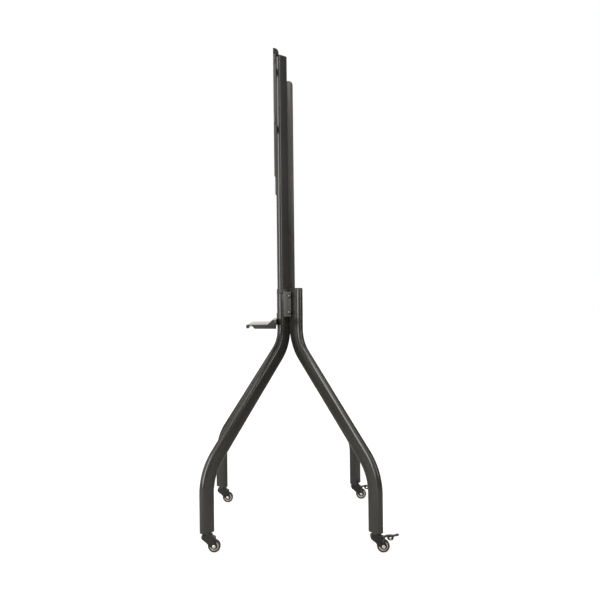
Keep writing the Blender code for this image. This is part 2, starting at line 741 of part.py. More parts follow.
def rail_window(rail_z):
    """The opening in an arm's flanges that a rail runs through: (y, z)."""
    low = rail_z - SLIP
    high = rail_z + RAIL_HEIGHT + SLIP
    behind = RAIL_BACK_Y + SLIP
    return [(ARM_WEB_Y, low), (ARM_WEB_Y, high), (behind, high), (behind, low)]


def build_arms(slide):
    for letter, side in SIDES:
        x = side * ARM_X
        at = Vector((x, ARM_WEB_Y, RAIL_Z[1])) + SHIFT
        hinge = frame(f"arm_slide_{letter}", slide, at)
        body = prism(arm_outline(), x - ARM_HALF, x + ARM_HALF, axis="x")
        arm = add(f"arm_{letter}", moved(body, SHIFT), "bracket_powder_coat", hinge, at)
        inside = ARM_HALF - ARM_SHEET
        channel = prism(
            ((x - inside, ARM_WEB_Y), (x + inside, ARM_WEB_Y),
             (x + inside, EAR_REAR_Y + 20 * MM), (x - inside, EAR_REAR_Y + 20 * MM)),
            ARM_Z0 - 20 * MM, ARM_Z1 + 20 * MM,
        )
        wide = ARM_HALF + 5 * MM
        windows = [prism(rail_window(z), x - wide, x + wide, axis="x") for z in RAIL_Z]
        slots = []
        for z in VESA_SLOT_Z:
            slot = prism(
                rounded_rectangle(VESA_SLOT, VESA_SLOT_LENGTH, VESA_SLOT / 2 - 0.05 * MM, steps=4),
                ARM_FRONT_Y - 5 * MM, ARM_WEB_Y + 5 * MM, axis="y",
            )
            slots.append(moved(slot, Vector((x, 0, z))))
        cut(arm, cutter(f"cut_arm_channel_{letter}", moved(channel, SHIFT), hinge))
        cut(arm, cutter(f"cut_arm_windows_{letter}", moved(merge(*windows), SHIFT), hinge))
        cut(arm, cutter(f"cut_arm_slots_{letter}", moved(merge(*slots), SHIFT), hinge))


def build_tray(root):
    sheet = TRAY_SHEET
    top = TRAY_Z
    raised = top + TRAY_STEP
    step_end = TRAY_STEP_Y + TRAY_STEP_RUN
    hem = TRAY_FRONT + TRAY_HEM
    outline = (
        (TRAY_FRONT, top - TRAY_HEM_DROP),
        (TRAY_FRONT, top),
        (TRAY_STEP_Y, top),
        (step_end, raised),
        (TRAY_REAR, raised),
        (TRAY_REAR, raised - TRAY_APRON),
        (TRAY_REAR - sheet, raised - TRAY_APRON),
        (TRAY_REAR - sheet, raised - sheet),
        (step_end + 0.4 * sheet, raised - sheet),
        (TRAY_STEP_Y + 0.4 * sheet, top - sheet),
        (hem, top - sheet),
        (hem, top - TRAY_HEM_DROP),
    )
    pan = prism(outline, -TRAY_HALF, TRAY_HALF, axis="x")
    tray = add("tray", moved(pan, SHIFT), "tray_powder_coat", root)
    cheek_front = hem + TRAY_NOTCH
    low = top - TRAY_CHEEK_DROP
    for letter, side in SIDES:
        outline = (
            (cheek_front, top - sheet / 2),
            (cheek_front + 10 * MM, low + 0.5 * MM),
            (TRAY_REAR, low - 0.5 * MM),
            (TRAY_REAR, raised - sheet / 2),
            (step_end, raised - sheet / 2),
            (TRAY_STEP_Y, top - sheet / 2),
        )
        ends = sorted((side * TRAY_HALF, side * (TRAY_HALF - sheet)))
        cheek = moved(prism(outline, ends[0], ends[1], axis="x"), SHIFT)
        cut(tray, cutter(f"join_tray_cheek_{letter}", cheek, root), "UNION")
    corner = []
    for _, side in SIDES:
        ends = sorted((side * (TRAY_HALF - 5 * MM), side * (TRAY_HALF + 5 * MM)))
        relief = (
            (hem + 0.5 * MM, top - sheet - 5 * MM),
            (hem + 0.5 * MM, top - 0.9 * sheet),
            (cheek_front - 0.2 * MM, top - 0.9 * sheet),
            (cheek_front - 0.2 * MM, top - sheet - 5 * MM),
        )
        corner.append(moved(prism(relief, ends[0], ends[1], axis="x"), SHIFT))
    cut(tray, cutter("cut_tray_relief", merge(*corner), root))
    gap = LEG_SHORT / 2 + SEAT
    base = FRONT_TOP - FRONT_V * gap

    def on_leg(x):
        return base.y - (x - base.x) * FRONT_V.x / FRONT_V.y

    back_x = WEDGE_INNER + 8 * MM
    for letter, side in SIDES:
        outline = (
            (WEDGE_HALF_SPAN, WEDGE_FRONT_Y),
            (WEDGE_HALF_SPAN, on_leg(WEDGE_HALF_SPAN)),
            (back_x, on_leg(back_x)),
            (WEDGE_INNER, on_leg(back_x)),
            (WEDGE_INNER, WEDGE_FRONT_Y),
        )
        bm = prism([(side * x, y) for x, y in outline], WEDGE_Z0, WEDGE_Z1)
        wedge = add(f"tray_wedge_{letter}", moved(bm, SHIFT), "bracket_powder_coat", root)
        soften(wedge, 1 * MM, segments=1)


def fork_outline():
    """Side view of a caster fork, (behind the stem, height): a stem housing, a lower hood over
    the wheel, and side arms that sweep back to the axle boss."""
    nose = [(-7.5, 57.8), (-13.0, 57.0), (-16.2, 54.4), (-17.4, 50.6), (-17.2, 46.2), (-15.2, 42.2)]
    sweep = [(-10.4, 38.0), (-5.6, 34.2), (-1.4, 30.2), (2.4, 26.0), (6.0, 22.0), (10.2, 18.6)]
    boss = [(14.2, 14.4), (17.6, 11.6), (21.6, 10.3), (26.0, 10.7), (30.0, 13.0), (32.6, 16.6)]
    tail = [(33.2, 20.6), (32.2, 25.0), (30.0, 29.4), (28.4, 33.6), (27.6, 38.0), (27.4, 44.8)]
    back = [(26.0, 48.0), (23.0, 49.4), (19.8, 50.2), (18.0, 52.2), (17.4, 55.0), (15.4, 57.4), (10.0, 57.8)]
    return [(a * MM, b * MM) for a, b in nose + sweep + boss + tail + back]


def build_caster(kind, letter, side, foot, root):
    at = Vector((side * foot.x, foot.y, 0)) + SHIFT
    stem_at = at + Vector((0, 0, LEG_FOOT_Z))
    hub_at = at + Vector((0, TRAIL, WHEEL_R))
    tag = f"{kind}_{letter}"
    swivel = frame(f"swivel_{tag}", root, stem_at)
    fork = add(
        f"caster_fork_{tag}", moved(prism(fork_outline(), -FORK_HALF, FORK_HALF, axis="x"), at),
        "caster_plastic", swivel, stem_at,
    )
    soften(fork, 1.8 * MM, segments=1, angle=40)
    stem = turned(
        [(STEM_R, STEM_TOP_Z), (STEM_R, 61.2 * MM), (COLLAR_R, 61.2 * MM), (COLLAR_R, 54 * MM)],
        24, "z", at,
    )
    cut(fork, cutter(f"join_stem_{tag}", stem, swivel), "UNION")
    well = turned(
        [(FORK_WELL_R, -FORK_WELL_HALF), (FORK_WELL_R, FORK_WELL_HALF)], 24, "x", hub_at
    )
    bore = turned([(AXLE_R + SEAT, -30 * MM), (AXLE_R + SEAT, 30 * MM)], 16, "x", hub_at)
    cut(fork, cutter(f"cut_wheel_well_{tag}", well, swivel))
    cut(fork, cutter(f"cut_axle_bore_{tag}", bore, swivel))
    head = FORK_HALF + SEAT
    axle = turned(
        [(AXLE_HEAD_R * 0.55, -head - 2.2 * MM), (AXLE_HEAD_R, -head - 1.2 * MM),
         (AXLE_HEAD_R, -head), (AXLE_R, -head), (AXLE_R, head), (AXLE_HEAD_R, head),
         (AXLE_HEAD_R, head + 1.2 * MM), (AXLE_HEAD_R * 0.55, head + 2.2 * MM)],
        16, "x", hub_at,
    )
    add(f"caster_axle_{tag}", axle, "bright_steel", swivel, hub_at)
    spin = frame(f"spin_{tag}", swivel, hub_at)
    half = WHEEL_WIDTH / 2
    hole = AXLE_R + RUN
    core = ring_body(
        [(CORE_R, -half * 0.72), (CORE_R, half * 0.72)],
        [(CORE_R * 0.62, -half * 0.72), (CORE_R * 0.55, -half), (hole, -half),
         (hole, half), (CORE_R * 0.55, half), (CORE_R * 0.62, half * 0.72)],
        20, "x", hub_at,
    )
    add(f"wheel_core_{tag}", core, "wheel_core_plastic", spin, hub_at)
    tread = [(WHEEL_R - 2.2 * MM, -half), (WHEEL_R - 0.6 * MM, -half * 0.78)]
    tread += [(WHEEL_R, -half * 0.4), (WHEEL_R, half * 0.4)]
    tread += [(WHEEL_R - 0.6 * MM, half * 0.78), (WHEEL_R - 2.2 * MM, half)]
    seat = [(CORE_R + SEAT, -half * 0.8), (CORE_R + SEAT, half * 0.8)]
    add(f"wheel_tyre_{tag}", ring_body(tread, seat, 24, "x", hub_at), "tyre_rubber", spin, hub_at)
    if kind == "rear":
        build_pedal(tag, at, swivel, fork)


def pedal_outline():
    """Side view of the brake pedal: a wavy lever, (behind the stem, height)."""
    upper = [(19.6, 47.6), (22.5, 49.4), (27, 49.2), (31, 51.2), (35, 52.4), (44, 52.8)]
    upper += [(52, 52.4), (57.5, 52.0), (62, 53.2), (67, 55.4)]
    tip = [(PEDAL_TIP / MM - 0.9, 54.6), (PEDAL_TIP / MM, 53.0), (PEDAL_TIP / MM - 1.6, 51.2)]
    lower = [(67, 50.6), (60, 49.2), (54, 48.4), (44, 48.6), (36, 48.4), (30.5, 47.0), (27.5, 44.6)]
    root = [(25.0, 42.6), (21.6, 42.2), (19.2, 44.0)]
    return [(a * MM, b * MM) for a, b in upper + tip + lower + root]


def web_outline():
    points = [(34.2, 51), (34.6, 44), (36.4, 40.2), (40.4, 37.8), (46, 36.8)]
    points += [(51, 38.0), (54, 41.2), (54.8, 46), (53.4, 51)]
    return [(a * MM, b * MM) for a, b in points]


def build_pedal(tag, at, swivel, fork):
    pin_at = at + Vector((0, PIN_Y, PIN_Z))
    room = prism(
        ((PIN_Y - 5.4 * MM, PIN_Z - 9 * MM), (PIN_Y - 5.4 * MM, PIN_Z + 12 * MM),
         (PIN_Y + 30 * MM, PIN_Z + 12 * MM), (PIN_Y + 30 * MM, PIN_Z - 9 * MM)),
        -PEDAL_HALF - 0.5 * MM, PEDAL_HALF + 0.5 * MM, axis="x",
    )
    cut(fork, cutter(f"cut_pedal_room_{tag}", moved(room, at), swivel))
    through = FORK_HALF + 5 * MM
    drill = turned([(PIN_R + SEAT, -through), (PIN_R + SEAT, through)], 12, "x", pin_at)
    cut(fork, cutter(f"cut_pin_bore_{tag}", drill, swivel))
    pin_half = FORK_HALF - PIN_SUNK
    pin = turned([(PIN_R, -pin_half), (PIN_R, pin_half)], 16, "x", pin_at)
    add(f"pedal_pin_{tag}", pin, "bolt_steel", swivel, pin_at)
    hinge = frame(f"pedal_hinge_{tag}", swivel, pin_at)
    lever = add(
        f"brake_pedal_{tag}", moved(prism(pedal_outline(), -PEDAL_HALF, PEDAL_HALF, axis="x"), at),
        "pedal_plastic", hinge, pin_at,
    )
    webs = []
    for side in (-1, 1):
        ends = sorted((side * (PEDAL_HALF - 0.4 * MM), side * (PEDAL_HALF - 2.6 * MM)))
        webs.append(moved(prism(web_outline(), ends[0], ends[1], axis="x"), at))
    cut(lever, cutter(f"join_pedal_webs_{tag}", merge(*webs), hinge), "UNION")
    hole_at = at + Vector((0, WEB_HOLE_Y, WEB_HOLE_Z))
    hole = turned([(WEB_HOLE_R, -through), (WEB_HOLE_R, through)], 20, "x", hole_at)
    cut(lever, cutter(f"cut_pedal_hole_{tag}", hole, hinge))
    bore = turned([(PIN_R + RUN, -through), (PIN_R + RUN, through)], 16, "x", pin_at)
    cut(lever, cutter(f"cut_pedal_bore_{tag}", bore, hinge))


def main():
    for obj in list(bpy.data.objects):
        bpy.data.objects.remove(obj, do_unlink=True)
    bpy.context.scene.unit_settings.system = "METRIC"
    root = frame("cart_root", None, Vector((0, 0, 0)))
    bolts = {letter: bolt_cutter(letter, side, root) for letter, side in SIDES}
    build_legs(root, bolts)
    build_masts(root, bolts)
    build_hub(root, bolts)
    build_cover(root)
    build_bracket(root)
    build_tray(root)
    for letter, side in SIDES:
        build_caster("front", letter, side, FRONT_FOOT, root)
        build_caster("rear", letter, side, REAR_FOOT, root)
    bpy.context.view_layer.update()


main()
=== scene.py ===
"""The dressed television cart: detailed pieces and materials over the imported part.

Every CAD node gets one piece of the same shape with smoother curves, rounded edges and a
material. Casters, pedals, ties and tray get a few small pieces more.
"""

import json
import math

import bmesh
import bpy
from mathutils import Matrix, Vector


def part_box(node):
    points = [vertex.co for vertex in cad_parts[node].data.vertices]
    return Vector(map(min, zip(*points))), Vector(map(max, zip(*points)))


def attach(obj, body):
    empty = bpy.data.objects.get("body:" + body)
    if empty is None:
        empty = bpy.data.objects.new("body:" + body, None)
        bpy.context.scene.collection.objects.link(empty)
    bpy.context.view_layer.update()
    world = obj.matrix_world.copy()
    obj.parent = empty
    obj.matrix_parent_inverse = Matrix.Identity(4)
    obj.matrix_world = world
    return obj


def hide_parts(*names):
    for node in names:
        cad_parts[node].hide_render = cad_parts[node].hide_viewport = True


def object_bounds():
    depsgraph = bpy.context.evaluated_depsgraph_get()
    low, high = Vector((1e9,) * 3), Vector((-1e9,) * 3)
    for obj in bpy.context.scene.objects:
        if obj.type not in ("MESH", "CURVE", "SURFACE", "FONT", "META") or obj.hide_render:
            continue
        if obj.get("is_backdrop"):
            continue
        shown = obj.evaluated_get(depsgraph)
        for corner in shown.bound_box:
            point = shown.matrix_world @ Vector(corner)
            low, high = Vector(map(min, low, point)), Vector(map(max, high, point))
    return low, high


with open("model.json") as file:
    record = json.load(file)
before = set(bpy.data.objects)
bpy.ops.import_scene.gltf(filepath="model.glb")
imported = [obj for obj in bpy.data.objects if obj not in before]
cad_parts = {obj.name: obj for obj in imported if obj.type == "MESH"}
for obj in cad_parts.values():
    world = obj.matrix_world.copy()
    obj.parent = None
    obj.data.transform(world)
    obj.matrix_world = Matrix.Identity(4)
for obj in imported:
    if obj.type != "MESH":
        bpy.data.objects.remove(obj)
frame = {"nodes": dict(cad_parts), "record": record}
CAD_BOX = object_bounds()
NODES = frame["nodes"]
MM = 0.001

BODY_OF = {}
for body_name, members in frame["record"]["behaviour"]["bodies"].items():
    for member in members:
        BODY_OF[member] = body_name

SIDES = (("L", -1), ("R", 1))
LEVELS = ("lower", "upper")

# Sizes that repeat the part's own, in metres
LEG_SIZE = (50 * MM, 25 * MM, 10.5 * MM)
LEG_WALL = 1.5 * MM
LEG_REACH = 341 * MM
REAR_LEG_TOP_Z = 830 * MM
FRONT_LEG_TOP_Z = 814 * MM
LEG_FOOT_Z = 62 * MM
UPPER_KNEE_Z = 640.7 * MM
LOWER_KNEE_Z = 246.3 * MM
UPPER_BEND = 136 * MM
LOWER_BEND = 174 * MM
FRONT_SPLAY = math.radians(43.0)
REAR_SPLAY = math.radians(46.3)
SEAT = 0.3 * MM
MAST_SIZE = (46.22 * MM, 21.22 * MM, 9 * MM)
MAST_WALL = 1.5 * MM
MAST_TOP_Z = 1637 * MM
MAST_LOW_Z = 710 * MM
TRAIL = 22.5 * MM
WHEEL_R = 20 * MM

# Each leg's foot, and the directions along and across its tube in plan, on the right-hand side
HINGES = {joint["name"]: joint for joint in frame["record"]["behaviour"]["joints"]}
FRONT_FOOT = Vector((*HINGES["swivel_front_R"]["pos_m"][:2], 0))
REAR_FOOT = Vector((*HINGES["swivel_rear_R"]["pos_m"][:2], 0))
FRONT_U = Vector((math.sin(FRONT_SPLAY), -math.cos(FRONT_SPLAY), 0))
FRONT_V = Vector((math.cos(FRONT_SPLAY), math.sin(FRONT_SPLAY), 0))
REAR_U = Vector((math.sin(REAR_SPLAY), math.cos(REAR_SPLAY), 0))
REAR_V = Vector((math.cos(REAR_SPLAY), -math.sin(REAR_SPLAY), 0))
FRONT_TOP = FRONT_FOOT - FRONT_U * LEG_REACH
REAR_TOP = REAR_FOOT - REAR_U * LEG_REACH


# Materials

# A powder coat's flecks and coarse peel against its grain, and how its noises are mixed
FLECK_TO_GRAIN = 1.6
COARSE_PEEL_TO_GRAIN = 0.3
CLOUD_SHARE = 0.4
FINE_PEEL_SHARE = 0.8
# Steel's darker tone, and the stretch of its marks, which run along X
STEEL_SHADE = 0.86
MARK_SCALE = (60, 2600, 2600)
# What dust adds to a rubber's tone
DUST_GAIN = 2.1
DUST_LIFT = 0.012


def shader_of(name):
    """A new material with its node tree and its shader."""
    made = bpy.data.materials.new(name)
    made.use_nodes = True
    tree = made.node_tree
    return made, tree, tree.nodes["Principled BSDF"]


def set_inputs(tree, target, **inputs):
    """Set a node's inputs by name, to plain values or to the outputs of other nodes."""
    for key, value in inputs.items():
        socket = target.inputs[key.replace("_", " ")]
        if isinstance(value, bpy.types.NodeSocket):
            tree.links.new(value, socket)
        else:
            socket.default_value = value


def node(tree, kind, **inputs):
    """A new node with its inputs set."""
    made = tree.nodes.new(kind)
    set_inputs(tree, made, **inputs)
    return made


def noise(tree, scale, detail=3.0, rough=0.55):
    """Noise that stays with the object, with its scale in periods per metre."""
    coords = tree.nodes.new("ShaderNodeTexCoord").outputs["Object"]
    made = node(
        tree, "ShaderNodeTexNoise", Vector=coords, Scale=scale, Detail=detail, Roughness=rough
    )
    return made.outputs["Fac"]


def span(tree, value, low, high, from_low=0.3, from_high=0.7):
    """A smooth step from low to high, while the value goes from from_low to from_high."""
    made = node(
        tree, "ShaderNodeMapRange", Value=value,
        From_Min=from_low, From_Max=from_high, To_Min=low, To_Max=high,
    )
    made.interpolation_type = "SMOOTHSTEP"
    return made.outputs["Result"]


def arithmetic(tree, operation, *terms):
    """A Math node on outputs of other nodes and plain numbers."""
    made = tree.nodes.new("ShaderNodeMath")
    made.operation = operation
    for socket, term in zip(made.inputs, terms):
        if isinstance(term, bpy.types.NodeSocket):
            tree.links.new(term, socket)
        else:
            socket.default_value = term
    return made.outputs[0]


def blend_colour(tree, factor, first, second):
    """A mix of two colours. A Mix node has its colours in sockets 6 and 7 and the mix in 2."""
    made = tree.nodes.new("ShaderNodeMix")
    made.data_type = "RGBA"
    made.inputs[6].default_value = (*first, 1)
    made.inputs[7].default_value = (*second, 1)
    tree.links.new(factor, made.inputs[0])
    return made.outputs[2]


def mix_shader(tree, factor, first, second):
    """The first shader where the factor is 0, and the second where it is 1."""
    made = tree.nodes.new("ShaderNodeMixShader")
    for socket, source in zip(made.inputs, (factor, first, second)):
        tree.links.new(source, socket)
    return made.outputs[0]


def bump(tree, height, strength, depth, **before):
    """A normal from a height, over another normal where one is given."""
    made = node(
        tree, "ShaderNodeBump", Height=height, Strength=strength, Distance=depth, **before
    )
    return made.outputs["Normal"]


def shades(tone, spread):
    """A tone a little darker than the one given, and one as much paler."""
    dark = tuple(c * (1 - spread) for c in tone)
    pale = tuple(c * (1 + spread) for c in tone)
    return dark, pale


def powder_coat(name, tone, spread=0.18, rough=(0.36, 0.46), grain=900, peel=0.10, specular=0.5):
    """Baked powder: slightly uneven tone, fine orange peel, satin gloss."""
    made, tree, shader = shader_of(name)
    cloud = noise(tree, scale=7.0, detail=4.0)
    fleck = noise(tree, scale=grain * FLECK_TO_GRAIN, detail=2.0)
    part_cloud = arithmetic(tree, "MULTIPLY", cloud, CLOUD_SHARE)
    mottle = arithmetic(tree, "MULTIPLY_ADD", fleck, 1 - CLOUD_SHARE, part_cloud)
    coarse = noise(tree, scale=grain * COARSE_PEEL_TO_GRAIN, detail=2.0)
    fine = noise(tree, scale=grain, detail=2.0)
    coarse_peel = bump(tree, coarse, strength=peel, depth=0.25 * MM)
    fine_peel = bump(
        tree, fine, strength=peel * FINE_PEEL_SHARE, depth=0.06 * MM, Normal=coarse_peel
    )
    set_inputs(
        tree, shader,
        Base_Color=blend_colour(tree, span(tree, mottle, 0, 1), *shades(tone, spread)),
        Roughness=span(tree, cloud, *rough),
        Normal=fine_peel,
        Specular_IOR_Level=specular,
    )
    return made


def moulded(name, tone, rough=(0.42, 0.55), spread=0.12, grain=1500, specular=0.5):
    """Injection moulding: even tone with a fine spark texture."""
    made, tree, shader = shader_of(name)
    cloud = noise(tree, scale=30.0)
    spark = noise(tree, scale=grain, detail=2.0)
    set_inputs(
        tree, shader,
        Base_Color=blend_colour(tree, span(tree, cloud, 0, 1), *shades(tone, spread)),
        Roughness=span(tree, noise(tree, scale=120.0, detail=2.0), *rough),
        Normal=bump(tree, spark, strength=0.14, depth=0.08 * MM),
        Specular_IOR_Level=specular,
    )
    return made


def steel(name, tone, rough=(0.2, 0.34)):
    """Turned or plated steel with faint marks."""
    made, tree, shader = shader_of(name)
    cloud = noise(tree, scale=90.0, detail=4.0)
    dark = tuple(c * STEEL_SHADE for c in tone)
    coords = tree.nodes.new("ShaderNodeTexCoord").outputs["Object"]
    stretched = node(tree, "ShaderNodeMapping", Vector=coords, Scale=MARK_SCALE).outputs["Vector"]
    marks = node(tree, "ShaderNodeTexNoise", Vector=stretched, Scale=1.0, Detail=2.0)
    set_inputs(
        tree, shader,
        Base_Color=blend_colour(tree, span(tree, cloud, 0, 1), dark, tone),
        Metallic=1.0,
        Roughness=span(tree, noise(tree, scale=400.0), *rough),
        Normal=bump(tree, marks.outputs["Fac"], strength=0.08, depth=0.03 * MM),
    )
    return made


def rubber(name, tone):
    """Tread rubber with dust in its pores."""
    made, tree, shader = shader_of(name)
    dust = noise(tree, scale=260.0, detail=5.0, rough=0.7)
    dusty = tuple(c * DUST_GAIN + DUST_LIFT for c in tone)
    amount = span(tree, dust, 0, 1, from_low=0.42, from_high=0.75)
    set_inputs(
        tree, shader,
        Base_Color=blend_colour(tree, amount, tone, dusty),
        Roughness=span(tree, dust, 0.62, 0.85),
        Normal=bump(tree, noise(tree, scale=900.0), strength=0.3, depth=0.12 * MM),
    )
    return made


FINISH = {}


def add_finish(name, kind, tone, **options):
    """Make a material and keep it under its name."""
    FINISH[name] = kind(name, tone, **options)


add_finish("frame_powder_coat", powder_coat, (0.0205, 0.0193, 0.0168), rough=(0.20, 0.24), peel=0.045)
add_finish("mast_powder_coat", powder_coat, (0.0205, 0.0196, 0.0184), rough=(0.19, 0.23), peel=0.04)
add_finish("bracket_powder_coat", powder_coat, (0.030, 0.0288, 0.0274), rough=(0.42, 0.52), grain=1100)
# Painted shade: a darker, duller copy of the bracket coat for the arms above the upper rail
add_finish(
    "ear_coat", powder_coat, (0.0125, 0.0122, 0.0120), rough=(0.46, 0.56), grain=1100, specular=0.16
)
add_finish("rail_coat", powder_coat, (0.082, 0.0795, 0.0760), rough=(0.40, 0.50), grain=1100)
add_finish("cover_sheet_coat", powder_coat, (0.0440, 0.0418, 0.0370), rough=(0.28, 0.34), grain=800)
add_finish("tray_powder_coat", powder_coat, (0.0300, 0.0292, 0.0284), rough=(0.10, 0.15), peel=0.02)
add_finish("hub_casting", powder_coat, (0.035, 0.0340, 0.0326), rough=(0.40, 0.5), grain=700, peel=0.14)
add_finish("cap_plastic", moulded, (0.018, 0.018, 0.018))
add_finish("caster_plastic", moulded, (0.0115, 0.0108, 0.0096), rough=(0.30, 0.42), specular=0.36)
add_finish("pedal_plastic", moulded, (0.015, 0.0144, 0.0135), rough=(0.34, 0.46), specular=0.4)
add_finish("wheel_core_plastic", moulded, (0.60, 0.545, 0.46), rough=(0.4, 0.5))
add_finish("tyre_rubber", rubber, (0.017, 0.0158, 0.0142))
add_finish("bolt_steel", steel, (0.115, 0.113, 0.110), rough=(0.30, 0.40))
add_finish("bright_steel", steel, (0.72, 0.71, 0.69))


# Mesh helpers


def finish_piece(name, bm, slot, body, replaced=(), sharp=38, weld=True, look=None):
    """Turn a bmesh in the row frame into a piece with a finish, riding on a body."""
    if weld:
        bmesh.ops.remove_doubles(bm, verts=bm.verts, dist=0.001 * MM)
    bmesh.ops.recalc_face_normals(bm, faces=bm.faces)
    mesh = bpy.data.meshes.new(name)
    bm.to_mesh(mesh)
    bm.free()
    mesh.polygons.foreach_set("use_smooth", [True] * len(mesh.polygons))
    mesh.set_sharp_from_angle(angle=math.radians(sharp))
    obj = bpy.data.objects.new(name, mesh)
    bpy.context.scene.collection.objects.link(obj)
    mesh.materials.append(FINISH[look or slot])
    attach(obj, body)
    if replaced:
        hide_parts(*replaced)
    return obj


def dressed(name, bm, slot, **options):
    """A piece that takes the place of one CAD node, on that node's own body."""
    return finish_piece(f"{name}_dressed", bm, slot, BODY_OF[name], (name,), **options)


def refined(name, slot, width, segments=2, look=None):
    """A CAD node's own shape with its hard edges rounded, as a piece that replaces it."""
    bm = bmesh.new()
    bm.from_mesh(NODES[name].data)
    bmesh.ops.remove_doubles(bm, verts=bm.verts, dist=0.002 * MM)
    flat = math.radians(0.6)
    bmesh.ops.dissolve_limit(bm, angle_limit=flat, verts=bm.verts, edges=bm.edges)
    limit = math.radians(30)
    hard = [e for e in bm.edges if len(e.link_faces) == 2 and e.calc_face_angle(0) > limit]
    bmesh.ops.bevel(
        bm, geom=hard, offset=width, segments=segments, profile=0.5,
        affect="EDGES", clamp_overlap=True, loop_slide=True,
    )
    return dressed(name, bm, slot, sharp=32, weld=False, look=look)


def skin(bm, rings, loop=False):
    """Faces from ring to ring. The ends are capped, or joined to each other in a loop."""
    made = [[bm.verts.new(p) for p in ring] for ring in rings]
    pairs = list(zip(made, made[1:]))
    if loop:
        pairs.append((made[-1], made[0]))
    else:
        bm.faces.new(made[0][::-1])
        bm.faces.new(made[-1])
    for a, b in pairs:
        for k in range(len(a)):
            j = (k + 1) % len(a)
            bm.faces.new((a[k], a[j], b[j], b[k]))


def turned_rings(profile, count, place, shape=lambda turn: 1):
    """Rings of a turned shape, from a profile of radius and run along its axis.

    place puts a point (across, over, run) in the row frame, and shape gives the share of the
    radius at an angle.
    """
    rings = []
    for radius, run in profile:
        ring = []
        for k in range(count):
            turn = 2 * math.pi * k / count
            r = radius * shape(turn)
            ring.append(place(r * math.cos(turn), r * math.sin(turn), run))
        rings.append(ring)
    return rings


def along_x(at):
    """Puts a turned shape on a line along X."""
    return lambda a, b, run: Vector((run, a, b)) + at


def along_z(at):
    """Puts a turned shape on an upright line."""
    return lambda a, b, run: Vector((a, b, run)) + at


def rounded_rectangle(length, width, corner, steps=8):
    """The outline of a rectangle with round corners, about its middle."""
    points = []
    for quarter, (sx, sy) in enumerate(((1, 1), (-1, 1), (-1, -1), (1, -1))):
        for step in range(steps + 1):
            turn = math.pi / 2 * (quarter + step / steps)
            x = sx * (length / 2 - corner) + corner * math.cos(turn)
            y = sy * (width / 2 - corner) + corner * math.sin(turn)
            points.append((x, y))
    return points


def box_of(name):
    """The low corner, the high corner and the middle of a CAD node."""
    low, high = (Vector(corner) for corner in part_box(name))
    return low, high, (low + high) / 2


# Legs and masts

# The rounded rims of a leg tube, in mm: the distance from its end, and how far it is drawn in
LEG_TOP_RIM = ((0, 0.9), (0.5, 0.3), (1.4, 0), (30, 0))
LEG_FOOT_RIM = ((1.2, 0), (0.4, 0.2), (0, 0.6))
# The mast cap over its seat, in mm: how far it is drawn in, and the height
CAP_PROFILE = (
    (0.3, 0.0), (0.0, 0.3), (0.0, 1.4), (0.35, 2.6), (1.0, 3.4), (2.2, 4.1), (4.0, 4.6), (7.0, 5.0)
)
CAP_SKIRT = 20 * MM
LEAST_CORNER = 1.2 * MM


def tube_section(size, inset=0):
    """The outline of a tube's section, drawn in by an inset."""
    length, width, corner = size
    return rounded_rectangle(
        length - 2 * inset, width - 2 * inset, max(corner - inset, LEAST_CORNER)
    )


def tube_ring(where, section, height, out=0, tilt=0):
    """A section at a place on a tube, which leans along u by the tilt.

    where holds the tube's axis at the top, the plan directions u and v, and the side.
    """
    top, u, v, side = where
    ring = []
    for a, b in section:
        p = top + u * (out + a * math.cos(tilt)) + v * b
        ring.append(Vector((side * p.x, p.y, height + a * math.sin(tilt))))
    return ring


def leg_path(top_z, steps=18):
    """A leg from top to foot, as rows of reach, height, tilt and inset of the rim."""
    slope = math.atan2(LEG_REACH, UPPER_KNEE_Z - LOWER_KNEE_Z)
    upper_run = UPPER_BEND * math.tan(slope / 2)
    lower_run = LOWER_BEND * math.tan(slope / 2)
    path = [(0, top_z - down * MM, 0, inset * MM) for down, inset in LEG_TOP_RIM]
    for k in range(steps + 1):
        tilt = slope * k / steps
        out = UPPER_BEND * (1 - math.cos(tilt))
        path.append((out, UPPER_KNEE_Z + upper_run - UPPER_BEND * math.sin(tilt), tilt, 0))
    for k in range(steps + 1):
        tilt = slope * (1 - k / steps)
        out = LEG_REACH - LOWER_BEND * (1 - math.cos(tilt))
        path.append((out, LOWER_KNEE_Z - lower_run + LOWER_BEND * math.sin(tilt), tilt, 0))
    path += [(LEG_REACH, LEG_FOOT_Z + up * MM, 0, inset * MM) for up, inset in LEG_FOOT_RIM]
    return path


def leg(name, where, top_z):
    """A bent tube, hollow from end to end."""
    outer = []
    inner = []
    for out, height, tilt, inset in leg_path(top_z):
        outer.append(tube_ring(where, tube_section(LEG_SIZE, inset), height, out, tilt))
        inner.append(tube_ring(where, tube_section(LEG_SIZE, LEG_WALL), height, out, tilt))
    bm = bmesh.new()
    skin(bm, outer + inner[::-1], loop=True)
    dressed(name, bm, "frame_powder_coat", sharp=50)


def mast(name, where, steps=12):
    """A straight tube that goes down into the front leg."""
    heights = [MAST_LOW_Z + (MAST_TOP_Z - MAST_LOW_Z) * k / steps for k in range(steps + 1)]
    outer = [tube_ring(where, tube_section(MAST_SIZE), z) for z in heights]
    inner = [tube_ring(where, tube_section(MAST_SIZE, MAST_WALL), z) for z in heights[::-1]]
    bm = bmesh.new()
    skin(bm, outer + inner, loop=True)
    dressed(name, bm, "mast_powder_coat", sharp=50)


def mast_cap(name, where):
    """Moulded end cap: a straight skirt, a soft shoulder and a slightly crowned top."""
    seat_z = MAST_TOP_Z + SEAT
    plug = tube_section(MAST_SIZE, MAST_WALL + SEAT)
    rings = [tube_ring(where, plug, z) for z in (seat_z - CAP_SKIRT, seat_z)]
    for inset, rise in CAP_PROFILE:
        rings.append(tube_ring(where, tube_section(MAST_SIZE, inset * MM), seat_z + rise * MM))
    bm = bmesh.new()
    skin(bm, rings)
    dressed(name, bm, "cap_plastic", sharp=40)


